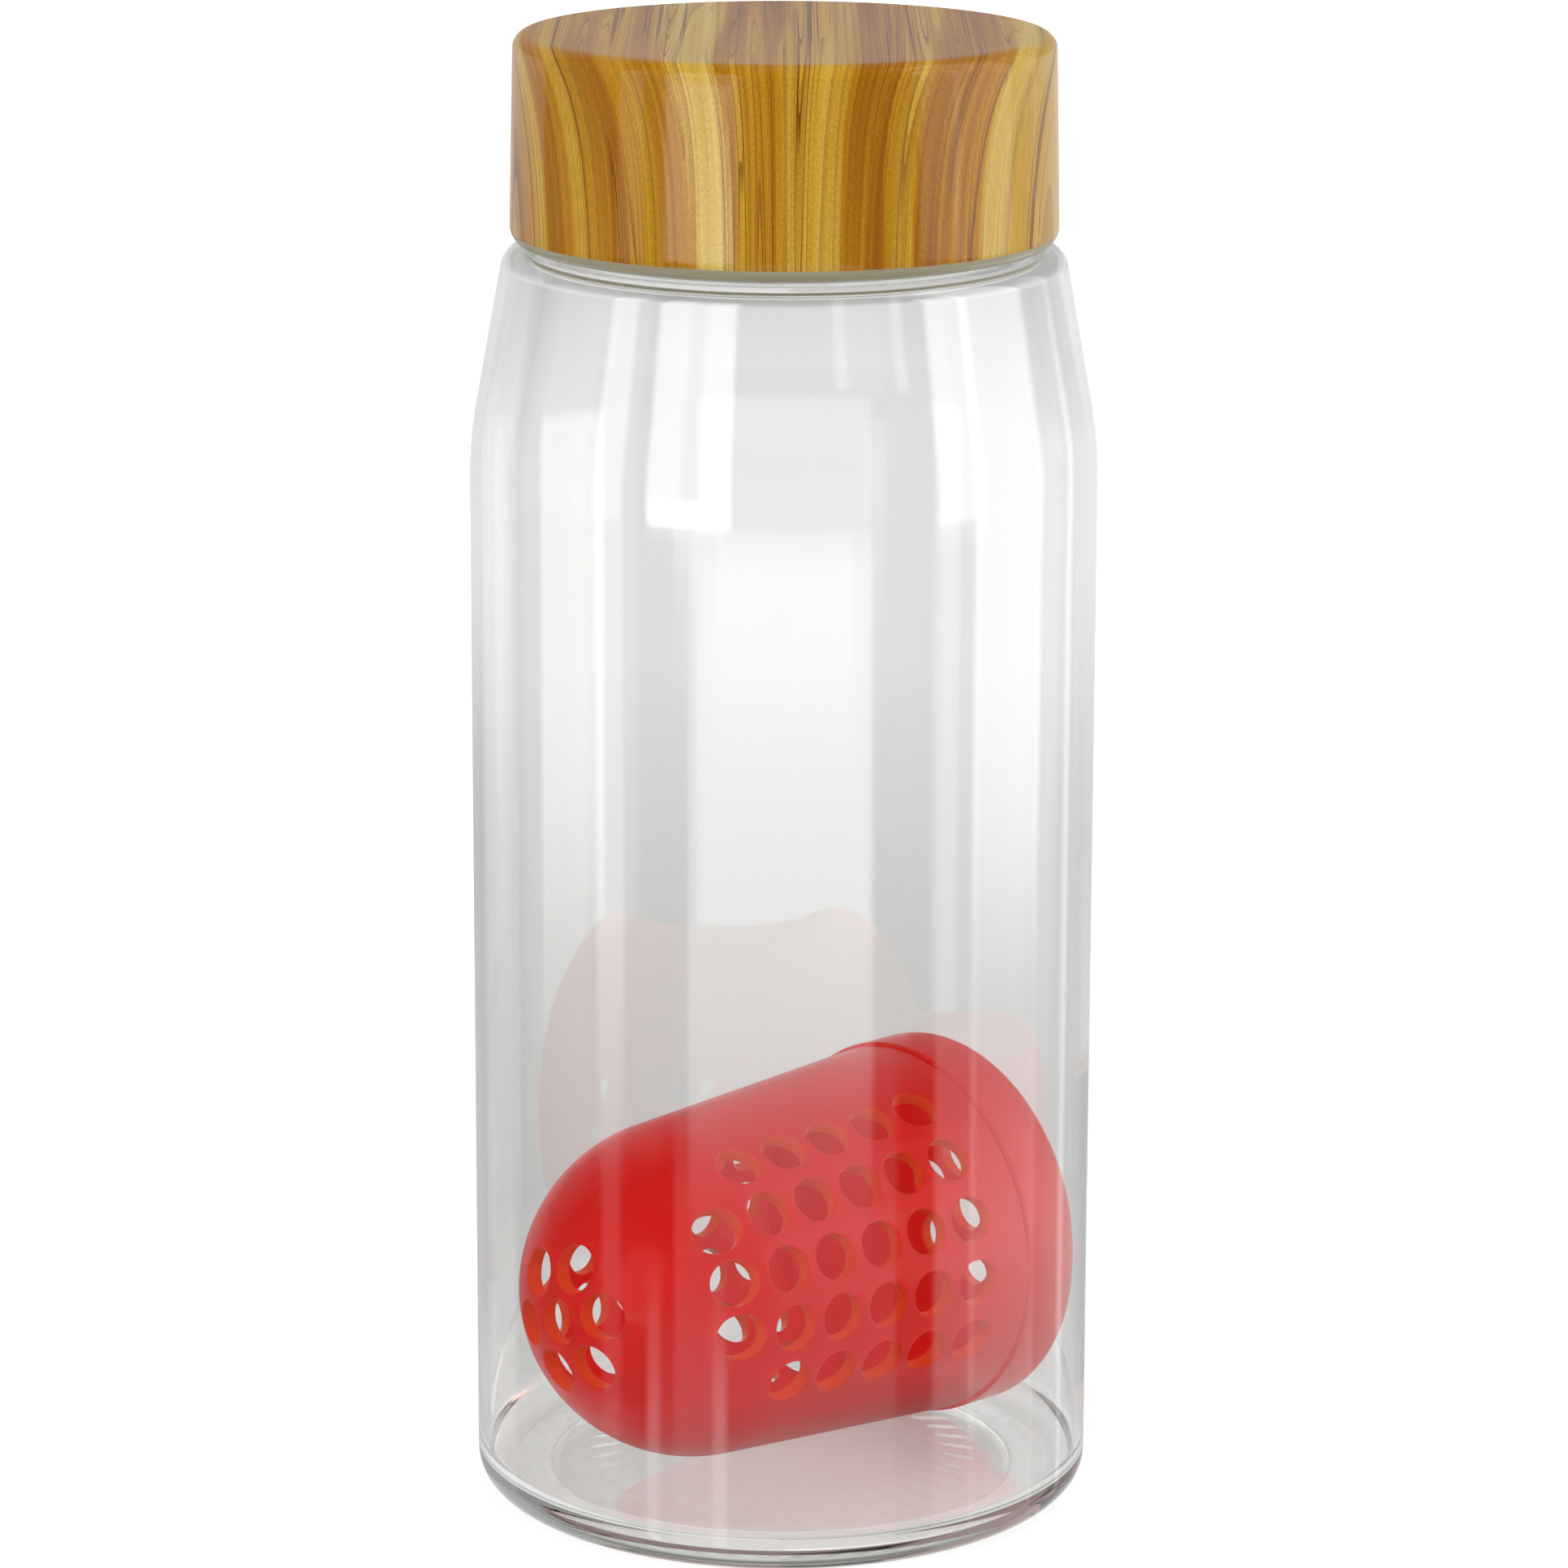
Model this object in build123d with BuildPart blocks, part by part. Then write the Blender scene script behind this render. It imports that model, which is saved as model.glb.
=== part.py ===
"""Fruit infuser water bottle.

A clear blow moulded bottle with a wide neck, a screw lid made of a wood
look cover over a threaded liner with a gasket, and a perforated infuser
capsule that lies loose on the bottle's floor. The origin is the middle of
the circle that the bottle stands on, and +Z points up.
"""

import os
from math import acos, atan2, cos, degrees, hypot, radians, sin, sqrt, tan

from build123d import *

os.makedirs("parts", exist_ok=True)

# One overrun serves every cut
overrun = 1.0

# Bottle: straight wall, heel and slanted shoulder
body_radius = 37.0
body_wall = 1.0
heel_radius = 4.2
shoulder_height = 151.6
shoulder_share = 0.8876
slant_height = 22.9
slant_blend = 45.0
shoulder_edge = 2.5
shoulder_wall = 1.0

# Bottle: base with a pushed up middle, standing on a ring
base_wall = 2.4
push_up = 3.0
ring_inner_share = 0.754
ring_edge = 2.0
inner_heel_radius = 4.0
floor_blend = 10.0

# Bottle: neck, whose bore lets the capsule through
neck_share = 0.727
neck_wall = 1.8
neck_root = 0.8
rim_round = 0.6
mouth_clearance = 1.9

# Capsule: a round nose, a slightly flared basket and a spigot for the cap
nose_taper = 2.4
basket_wall = 1.8
spigot_length = 6.0
spigot_wall = 1.5

# Capsule: cap with a skirt that stands a step proud of the basket
cap_step = 0.4
cap_skirt = 6.6
cap_dome_height = 6.3
cap_wall = 1.7
cap_clearance = 0.25
seam_gap = 0.15

# Capsule: holes in two patches that face each other, and at both ends
hole_first_share = 0.23
hole_pitch_share = 0.2015
hole_radius_share = 0.394
hole_row_angle = 20.0
hole_row_counts = [5, 6, 6, 6, 5]
end_ring_share = 0.333
end_ring_count = 6
end_ring_turn = 17.0

# Capsule: bayonet lock between the spigot and the cap
lug_count = 3
lug_angle = 14.0
lug_height = 0.6
lug_root_share = 0.5
lug_length = 1.6
lug_setback = 2.2
lock_angle = 30.0
lug_side_angle = 1.0

# Capsule: how it lies in the bottle
heading_angle = 41.5
patch_angle = 20.5
seat_gap = 0.3
nose_wall_gap = 0.4
cap_wall_gap = 0.877
side_shift = 0.9

# Lid: wood look cover
lid_height = 24.5
lid_draft = 0.56
cover_side_wall = 2.15
lid_top_round = 1.8
lid_bottom_round = 2.0
cover_top_wall = 2.0
cover_inner_round = 1.0

# Lid: threaded liner pressed into the cover, with room for the thread
thread_height = 1.0
thread_gap = 0.25
liner_wall = 1.2
liner_top_wall = 1.6
liner_recess = 0.3
liner_edge_round = 0.4
press_gap = 0.1
lid_gap = 0.5

# Lid: flat gasket between the liner and the neck's rim
seal_thickness = 1.5
seal_gap = 0.1
seal_side_gap = 0.25
seal_overhang = 1.5

# Heights and radii that follow from the sizes above
inner_radius = body_radius - body_wall
shoulder_radius = body_radius * shoulder_share
neck_radius = body_radius * neck_share
bore_radius = neck_radius - neck_wall
cap_radius = bore_radius - mouth_clearance
seam_radius = cap_radius - cap_step
nose_radius = seam_radius - nose_taper
nose_reach = inner_radius - nose_wall_gap - nose_radius
cap_reach = sqrt((inner_radius - cap_wall_gap) ** 2 - (cap_radius + side_shift) ** 2)
skirt_end = nose_reach + cap_reach
rim_distance = skirt_end - cap_skirt
seam_distance = rim_distance - seam_gap
hole_first = seam_distance * hole_first_share
hole_pitch = seam_distance * hole_pitch_share
hole_radius = hole_pitch * hole_radius_share
end_ring_radius = nose_radius * end_ring_share
ring_inner_radius = body_radius * ring_inner_share
bend_height = shoulder_height - slant_height
push_radius = (ring_inner_radius**2 + push_up**2) / (2 * push_up)
floor_radius = push_radius + base_wall
floor_centre = push_up - push_radius
floor_edge = floor_centre + sqrt(floor_radius**2 - ring_inner_radius**2)
lid_bottom = shoulder_height + lid_gap
liner_bottom = lid_bottom + liner_recess
lid_top = lid_bottom + lid_height
liner_top = lid_top - cover_top_wall - press_gap
seal_top = liner_top - liner_top_wall - seal_gap
seal_bottom = seal_top - seal_thickness
neck_top = seal_bottom - seal_gap
liner_inner_radius = neck_radius + thread_height + thread_gap
liner_radius = liner_inner_radius + liner_wall
cover_inner_radius = liner_radius + press_gap
lid_top_radius = cover_inner_radius + cover_side_wall
seal_radius = liner_inner_radius - seal_side_gap
seal_inner_radius = bore_radius - seal_overhang

# The bottle is one moulding, turned from its outside less its cavity
with BuildPart() as bottle_body:
    with BuildSketch(Plane.XZ):
        with BuildLine():
            FilletPolyline(
                (0, 0),
                (body_radius, 0),
                (body_radius, bend_height),
                (shoulder_radius, shoulder_height),
                (neck_radius, shoulder_height),
                (neck_radius, neck_top),
                (0, neck_top),
                radius=[heel_radius, slant_blend, shoulder_edge, neck_root, rim_round],
            )
            Line((0, neck_top), (0, 0))
        make_face()
    revolve(axis=Axis.Z)
    with BuildSketch(Plane.XZ) as cavity:
        with BuildLine():
            FilletPolyline(
                (0, floor_edge),
                (inner_radius, floor_edge),
                (inner_radius, bend_height),
                (shoulder_radius - body_wall, shoulder_height - shoulder_wall),
                (bore_radius, shoulder_height - shoulder_wall),
                (bore_radius, neck_top + overrun),
                (0, neck_top + overrun),
                radius=[
                    inner_heel_radius,
                    slant_blend - body_wall,
                    shoulder_edge - body_wall,
                    neck_root,
                    0,
                ],
            )
            Line((0, neck_top + overrun), (0, floor_edge))
        make_face()
        with Locations((0, floor_centre)):
            Circle(floor_radius, mode=Mode.SUBTRACT)
        floor_corner = cavity.vertices().group_by(Axis.Y)[0].sort_by(Axis.X)[0]
        fillet(floor_corner, floor_blend)
    revolve(axis=Axis.Z, mode=Mode.SUBTRACT)
    with Locations((0, 0, floor_centre)):
        Sphere(push_radius, mode=Mode.SUBTRACT)
    ring_corner = bottle_body.edges().filter_by(GeomType.CIRCLE).group_by(Axis.Z)[0]
    fillet(ring_corner.sort_by(SortBy.RADIUS)[0], ring_edge)
bottle_body.part.label = "bottle_body"
export_step(bottle_body.part, "parts/bottle_body.step")

# The flared side leaves the nose's sphere at its tangent point
seam_reach = hypot(seam_distance, seam_radius)
tangent = atan2(seam_radius, seam_distance) + acos(nose_radius / seam_reach)
flare = tangent - radians(90)

# The lowest point of the cap's rim, along the capsule's lowest line and below it
rim_along = rim_distance * cos(flare) + cap_radius * sin(flare)
rim_below = cap_radius * cos(flare) - rim_distance * sin(flare) - nose_radius

# That line lies on the domed floor where the rim touches the dome too
dome_reach = sqrt((floor_radius + seat_gap) ** 2 - side_shift**2)
line_contact = rim_along - sqrt(rim_below * (2 * dome_reach - rim_below))
nose_to_dome = hypot(line_contact, nose_radius + dome_reach)
nose_above_dome = sqrt(nose_to_dome**2 - nose_reach**2)
nose_height = floor_centre + nose_above_dome
dome_angle = atan2(nose_radius + dome_reach, line_contact) + flare
tilt = dome_angle - atan2(nose_above_dome, nose_reach)

# The capsule's plane has its axis along local x, and local y across it, upwards
heading = radians(heading_angle)
side = Vector(sin(heading), -cos(heading), 0)
ahead = Vector(cos(heading), sin(heading), 0)
capsule_axis = ahead * cos(tilt) + Vector(0, 0, sin(tilt))
nose_centre = side * side_shift - ahead * nose_reach + Vector(0, 0, nose_height)
capsule = Plane(origin=nose_centre, x_dir=capsule_axis, z_dir=side)
turning = Axis(nose_centre, capsule_axis)
nose_end = Plane(origin=nose_centre, x_dir=side, z_dir=-capsule_axis)
cap_end = Plane(origin=nose_centre, x_dir=side, z_dir=capsule_axis)

# Walls of the basket, its spigot and the lock
nose_inner_radius = nose_radius - basket_wall
cap_inner_radius = cap_radius - cap_wall
spigot_radius = cap_inner_radius - cap_clearance
spigot_inner_radius = spigot_radius - spigot_wall
collar_end = seam_distance - basket_wall
collar_start = collar_end - basket_wall
collar_radius = nose_inner_radius / cos(flare) + collar_start * tan(flare)
lug_start = rim_distance + lug_setback
groove_radius = spigot_radius + lug_height + cap_clearance
lug_step = 360 / lug_count


def turned_plane(turn):
    """Give the capsule's plane turned about the capsule's axis by an angle."""
    return Plane(origin=nose_centre, x_dir=capsule_axis, z_dir=side.rotate(turning, turn))


def hole_row(turn, count):
    """Cut one row of holes through the wall on the side that the turn faces."""
    with BuildSketch(turned_plane(-turn)) as holes:
        for column in range(count):
            with Locations((seam_distance - hole_first - column * hole_pitch, 0)):
                Circle(hole_radius)
    extrude(holes.sketch, amount=seam_radius + overrun, mode=Mode.SUBTRACT)


def end_holes(end, start, reach):
    """Cut the middle hole and the ring of holes through one end of the capsule."""
    with BuildSketch(end.offset(start)) as holes:
        Circle(hole_radius)
        with PolarLocations(end_ring_radius, end_ring_count, start_angle=end_ring_turn):
            Circle(hole_radius)
    extrude(holes.sketch, amount=reach, mode=Mode.SUBTRACT)


def ring_sector(turn, sweep, start, length, low, high, mode):
    """Turn a small rectangle about the capsule's axis, from one angle through a sweep."""
    with BuildSketch(turned_plane(turn)) as section:
        with Locations((start, low)):
            Rectangle(length, high - low, align=(Align.MIN, Align.MIN))
    revolve(section.sketch, axis=turning, revolution_arc=sweep, mode=mode)


# The basket: nose, flared side with its patches of holes, spigot and lugs
with BuildPart() as infuser_basket:
    with BuildSketch(capsule):
        with BuildLine():
            CenterArc((0, 0), nose_radius, degrees(tangent), 180 - degrees(tangent))
            Polyline(
                (nose_radius * cos(tangent), nose_radius * sin(tangent)),
                (seam_distance, seam_radius),
                (seam_distance, spigot_radius),
                (seam_distance + spigot_length, spigot_radius),
                (seam_distance + spigot_length, spigot_inner_radius),
                (collar_end, spigot_inner_radius),
                (collar_start, collar_radius),
                (nose_inner_radius * cos(tangent), nose_inner_radius * sin(tangent)),
            )
            CenterArc((0, 0), nose_inner_radius, degrees(tangent), 180 - degrees(tangent))
            Line((-nose_inner_radius, 0), (-nose_radius, 0))
        make_face()
    revolve(axis=turning)
    for facing in (patch_angle, patch_angle + 180):
        middle_row = len(hole_row_counts) // 2
        for row, count in enumerate(hole_row_counts):
            hole_row(facing + (row - middle_row) * hole_row_angle, count)
    end_holes(nose_end, 0, nose_radius + overrun)
    for lug in range(lug_count):
        ring_sector(
            lug * lug_step,
            lug_angle,
            lug_start,
            lug_length,
            spigot_radius - spigot_wall * lug_root_share,
            spigot_radius + lug_height,
            Mode.ADD,
        )
infuser_basket.part.label = "infuser_basket"
export_step(infuser_basket.part, "parts/infuser_basket.step")

# The cap: skirt over the spigot, low dome, and a bayonet groove for each lug
with BuildPart() as infuser_cap:
    with BuildSketch(capsule):
        with BuildLine():
            Polyline(
                (skirt_end, cap_inner_radius),
                (rim_distance, cap_inner_radius),
                (rim_distance, cap_radius),
                (skirt_end, cap_radius),
            )
            EllipticalCenterArc((skirt_end, 0), cap_dome_height, cap_radius, arc_size=90)
            Line((skirt_end + cap_dome_height, 0), (skirt_end + cap_dome_height - cap_wall, 0))
            EllipticalCenterArc(
                (skirt_end, 0), cap_dome_height - cap_wall, cap_inner_radius, arc_size=90
            )
        make_face()
    revolve(axis=turning)
    end_holes(cap_end, skirt_end, cap_dome_height + overrun)
    for lug in range(lug_count):
        groove_turn = lug * lug_step - lock_angle - lug_side_angle
        ring_sector(
            groove_turn,
            lug_angle + lock_angle + 2 * lug_side_angle,
            lug_start - cap_clearance,
            lug_length + 2 * cap_clearance,
            spigot_radius,
            groove_radius,
            Mode.SUBTRACT,
        )
        ring_sector(
            groove_turn,
            lug_angle + 2 * lug_side_angle,
            rim_distance - overrun,
            lug_start - rim_distance + overrun,
            spigot_radius,
            groove_radius,
            Mode.SUBTRACT,
        )
infuser_cap.part.label = "infuser_cap"
export_step(infuser_cap.part, "parts/infuser_cap.step")

# The lid's cover, a little wider at its rounded bottom edge
with BuildPart() as lid_cover:
    with BuildSketch(Plane.XZ):
        with BuildLine():
            FilletPolyline(
                (0, lid_top),
                (lid_top_radius, lid_top),
                (lid_top_radius + lid_draft, lid_bottom),
                (cover_inner_radius, lid_bottom),
                (cover_inner_radius, lid_top - cover_top_wall),
                (0, lid_top - cover_top_wall),
                radius=[lid_top_round, lid_bottom_round, 0, cover_inner_round],
            )
            Line((0, lid_top - cover_top_wall), (0, lid_top))
        make_face()
    revolve(axis=Axis.Z)
lid_cover.part.label = "lid_cover"
export_step(lid_cover.part, "parts/lid_cover.step")

# The liner, a plain cup here, whose rim stays just inside the cover
with BuildPart() as lid_liner:
    with BuildSketch(Plane.XZ):
        with BuildLine():
            FilletPolyline(
                (0, liner_top),
                (liner_radius, liner_top),
                (liner_radius, liner_bottom),
                (liner_inner_radius, liner_bottom),
                (liner_inner_radius, liner_top - liner_top_wall),
                (0, liner_top - liner_top_wall),
                radius=[cover_inner_round + press_gap, liner_edge_round, 0, 0],
            )
            Line((0, liner_top - liner_top_wall), (0, liner_top))
        make_face()
    revolve(axis=Axis.Z)
lid_liner.part.label = "lid_liner"
export_step(lid_liner.part, "parts/lid_liner.step")

# The gasket, a flat ring over the neck's rim
with BuildPart() as lid_seal:
    with BuildSketch(Plane.XY.offset(seal_bottom)):
        Circle(seal_radius)
        Circle(seal_inner_radius, mode=Mode.SUBTRACT)
    extrude(amount=seal_thickness)
lid_seal.part.label = "lid_seal"
export_step(lid_seal.part, "parts/lid_seal.step")
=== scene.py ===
"""Looks of a clear infuser bottle with a wood look lid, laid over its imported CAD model."""

from math import asin, atan2, ceil, cos, degrees, exp, hypot, pi, radians, remainder, sin
from math import sqrt, tan

import bmesh
import bpy
from bpy.props import FloatProperty, FloatVectorProperty, IntProperty, PointerProperty
from mathutils import Matrix, Vector


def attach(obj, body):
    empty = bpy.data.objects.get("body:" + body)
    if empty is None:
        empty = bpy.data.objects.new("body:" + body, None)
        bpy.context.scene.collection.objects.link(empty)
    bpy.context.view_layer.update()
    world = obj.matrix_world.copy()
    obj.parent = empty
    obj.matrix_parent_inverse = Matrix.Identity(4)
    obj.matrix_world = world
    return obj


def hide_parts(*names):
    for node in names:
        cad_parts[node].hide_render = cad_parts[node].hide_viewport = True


bl_info = {
    "name": "Infuser Bottle",
    "version": (1, 0, 0),
    "blender": (4, 5, 0),
    "location": "3D View > Sidebar > Bottle",
    "description": "Builds a clear bottle with a screw lid and a perforated infuser capsule",
    "category": "Add Mesh",
}

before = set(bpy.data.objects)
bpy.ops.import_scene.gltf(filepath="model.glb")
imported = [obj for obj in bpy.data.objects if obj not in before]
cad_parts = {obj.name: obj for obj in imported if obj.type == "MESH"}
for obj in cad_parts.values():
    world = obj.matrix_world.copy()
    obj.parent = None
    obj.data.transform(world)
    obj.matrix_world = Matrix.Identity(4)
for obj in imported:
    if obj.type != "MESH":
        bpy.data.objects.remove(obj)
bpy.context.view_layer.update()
MM = 0.001
FULL_TURN = 2 * pi


def to_linear(code):
    """Turn a six digit sRGB hex code into linear red, green and blue."""
    shares = [int(code[place : place + 2], 16) / 255 for place in (0, 2, 4)]
    return [s / 12.92 if s <= 0.04045 else ((s + 0.055) / 1.055) ** 2.4 for s in shares]


# Outlines


def arc(centre, radius, start, end, steps):
    """Points on an arc in an outline, from one angle to another in degrees."""
    angles = [radians(start + (end - start) * step / steps) for step in range(steps + 1)]
    return [(centre[0] + radius * cos(a), centre[1] + radius * sin(a)) for a in angles]


def rounded(corners, turn=8.0):
    """Outline through (x, y, round) corners, with an arc of that radius at each."""
    points = []
    for place, (x, y, size) in enumerate(corners):
        if not size or place in (0, len(corners) - 1):
            points.append((x, y))
            continue
        here = Vector((x, y))
        before = (Vector(corners[place - 1][:2]) - here).normalized()
        after = (Vector(corners[place + 1][:2]) - here).normalized()
        half = before.angle(after) / 2
        centre = here + (before + after).normalized() * size / sin(half)
        first = here + before * size / tan(half) - centre
        last = here + after * size / tan(half) - centre
        sweep = atan2(first.x * last.y - first.y * last.x, first.dot(last))
        steps = max(3, ceil(degrees(abs(sweep)) / turn))
        begin = degrees(atan2(first.y, first.x))
        points += arc(centre, size, begin, begin + degrees(sweep), steps)
    return points


def divided(points, step):
    """The same outline with its longer runs cut into steps."""
    fine = [points[0]]
    for start, end in zip(points, points[1:]):
        pieces = max(1, ceil(hypot(end[0] - start[0], end[1] - start[1]) / step))
        for piece in range(1, pieces + 1):
            share = piece / pieces
            fine.append(tuple(a + (b - a) * share for a, b in zip(start, end)))
    return fine


def smooth(share):
    """Ease a share between 0 and 1 in and out."""
    share = min(1.0, max(0.0, share))
    return share * share * (3 - 2 * share)


# Meshes


def upright(radius, height, turn):
    """A point of an upright outline, in metres, turned from the front (-Y) towards +X."""
    return Vector((radius * sin(turn), -radius * cos(turn), height)) * MM


def join_rings(mesh, rings, closed=False):
    """Fill the strips between neighbouring rings of points, or a ring and its pole."""
    pairs = list(zip(rings, rings[1:]))
    if closed:
        pairs.append((rings[-1], rings[0]))
    for low, high in pairs:
        for k in range(max(len(low), len(high))):
            corners = [low[k % len(low)], low[(k + 1) % len(low)]]
            corners += [high[(k + 1) % len(high)], high[k % len(high)]]
            if len(set(corners)) > 2:
                mesh.faces.new(dict.fromkeys(corners))


def lathe(outline, spokes, place=upright, shift=None, closed=False):
    """Turn an outline of (radius, height) points into a smooth solid."""
    mesh = bmesh.new()
    rings = []
    for radius, height in outline:
        ring = []
        for k in range(spokes if radius > 1e-6 else 1):
            turn = FULL_TURN * k / spokes
            out, up = shift(radius, height, turn) if shift else (0, 0)
            ring.append(mesh.verts.new(place(radius + out, height + up, turn)))
        rings.append(ring)
    join_rings(mesh, rings, closed)
    return mesh


def add_piece(name, mesh, material, body, node):
    """Make a smooth object of a mesh, which rides on its body and stands for its CAD node."""
    bmesh.ops.remove_doubles(mesh, verts=mesh.verts, dist=0.0004 * MM)
    bmesh.ops.recalc_face_normals(mesh, faces=mesh.faces)
    for face in mesh.faces:
        face.smooth = True
    data = bpy.data.meshes.new(name)
    mesh.to_mesh(data)
    mesh.free()
    data.materials.append(material)
    piece = bpy.data.objects.new(name, data)
    bpy.context.scene.collection.objects.link(piece)
    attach(piece, body)
    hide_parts(node)
    return piece


def thread_ridge(turn, height, start, lead, turns, width, flank):
    """How far a screw thread's ridge has risen here, as a share of its crest."""
    share = 0.0
    run_out = radians(28)
    total = turns * FULL_TURN
    for wrap in range(ceil(turns) + 1):
        along = turn + wrap * FULL_TURN
        if along > total:
            break
        offset = abs(height - start - lead * along / FULL_TURN)
        ends = smooth(min(along, total - along) / run_out)
        share = max(share, smooth((width / 2 + flank - offset) / flank) * ends)
    return share


# Materials


def add_node(tree, kind, inputs=None, **settings):
    """Add a node with its settings. Its inputs are set, or linked to a socket or to a node's
    first output."""
    node = tree.nodes.new("ShaderNode" + kind)
    for name, value in settings.items():
        setattr(node, name, value)
    for name, value in (inputs or {}).items():
        if isinstance(value, bpy.types.Node):
            value = value.outputs[0]
        if isinstance(value, bpy.types.NodeSocket):
            tree.links.new(value, node.inputs[name])
        else:
            node.inputs[name].default_value = value
    return node


def new_material(name):
    """Start a material with no nodes."""
    material = bpy.data.materials.new(name)
    material.use_nodes = True
    material.node_tree.nodes.clear()
    return material, material.node_tree


def light_goes_through(tree, surface, tint):
    """Let light reach what is inside: shadow and diffuse rays cross the wall without bending,
    and so does light that was mirrored twice and would else stay trapped in the wall."""
    path = add_node(tree, "LightPath")
    shadow, diffuse = path.outputs["Is Shadow Ray"], path.outputs["Is Diffuse Ray"]
    crossing = add_node(tree, "Math", {0: shadow, 1: diffuse}, operation="MAXIMUM")
    mirrorings = path.outputs["Glossy Depth"]
    trapped = add_node(tree, "Math", {0: mirrorings, 1: 1.5}, operation="GREATER_THAN")
    crossing = add_node(tree, "Math", {0: crossing, 1: trapped}, operation="MAXIMUM")
    clear = add_node(tree, "BsdfTransparent", {"Color": (*tint, 1)})
    return add_node(tree, "MixShader", {0: crossing, 1: surface, 2: clear})


def clear_copolyester(look):
    """Clear blow moulded copolyester: a mirror smooth wall with slow ripples in its shine."""
    material, tree = new_material("clear_copolyester_blow_moulded")
    place = add_node(tree, "TexCoord").outputs["Object"]
    # The ripples are about 25 mm across and 70 mm tall, as the parison stretched upwards
    stretch = add_node(tree, "Mapping", {"Vector": place, "Scale": (40, 40, 14)})
    ripple = add_node(tree, "TexNoise", {"Vector": stretch, "Scale": 1.0, "Detail": 1.0})
    bump = add_node(
        tree, "Bump", {"Height": ripple, "Strength": look.ripple, "Distance": 0.0006}
    )
    plastic = add_node(
        tree,
        "BsdfPrincipled",
        {
            "Base Color": (*look.wall_colour, 1),
            "Roughness": 0.0,
            "IOR": 1.57,
            "Transmission Weight": 1.0,
            "Normal": bump,
        },
    )
    # Light that crosses a wall unbent loses 7 percent
    wall = light_goes_through(tree, plastic, (0.93, 0.93, 0.93))
    # Grey green depth that shows only where the eye looks along the wall
    depth = add_node(
        tree,
        "VolumeAbsorption",
        {"Color": (*look.depth_colour, 1), "Density": look.depth_density},
    )
    add_node(tree, "OutputMaterial", {"Surface": wall, "Volume": depth})
    return material


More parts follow.
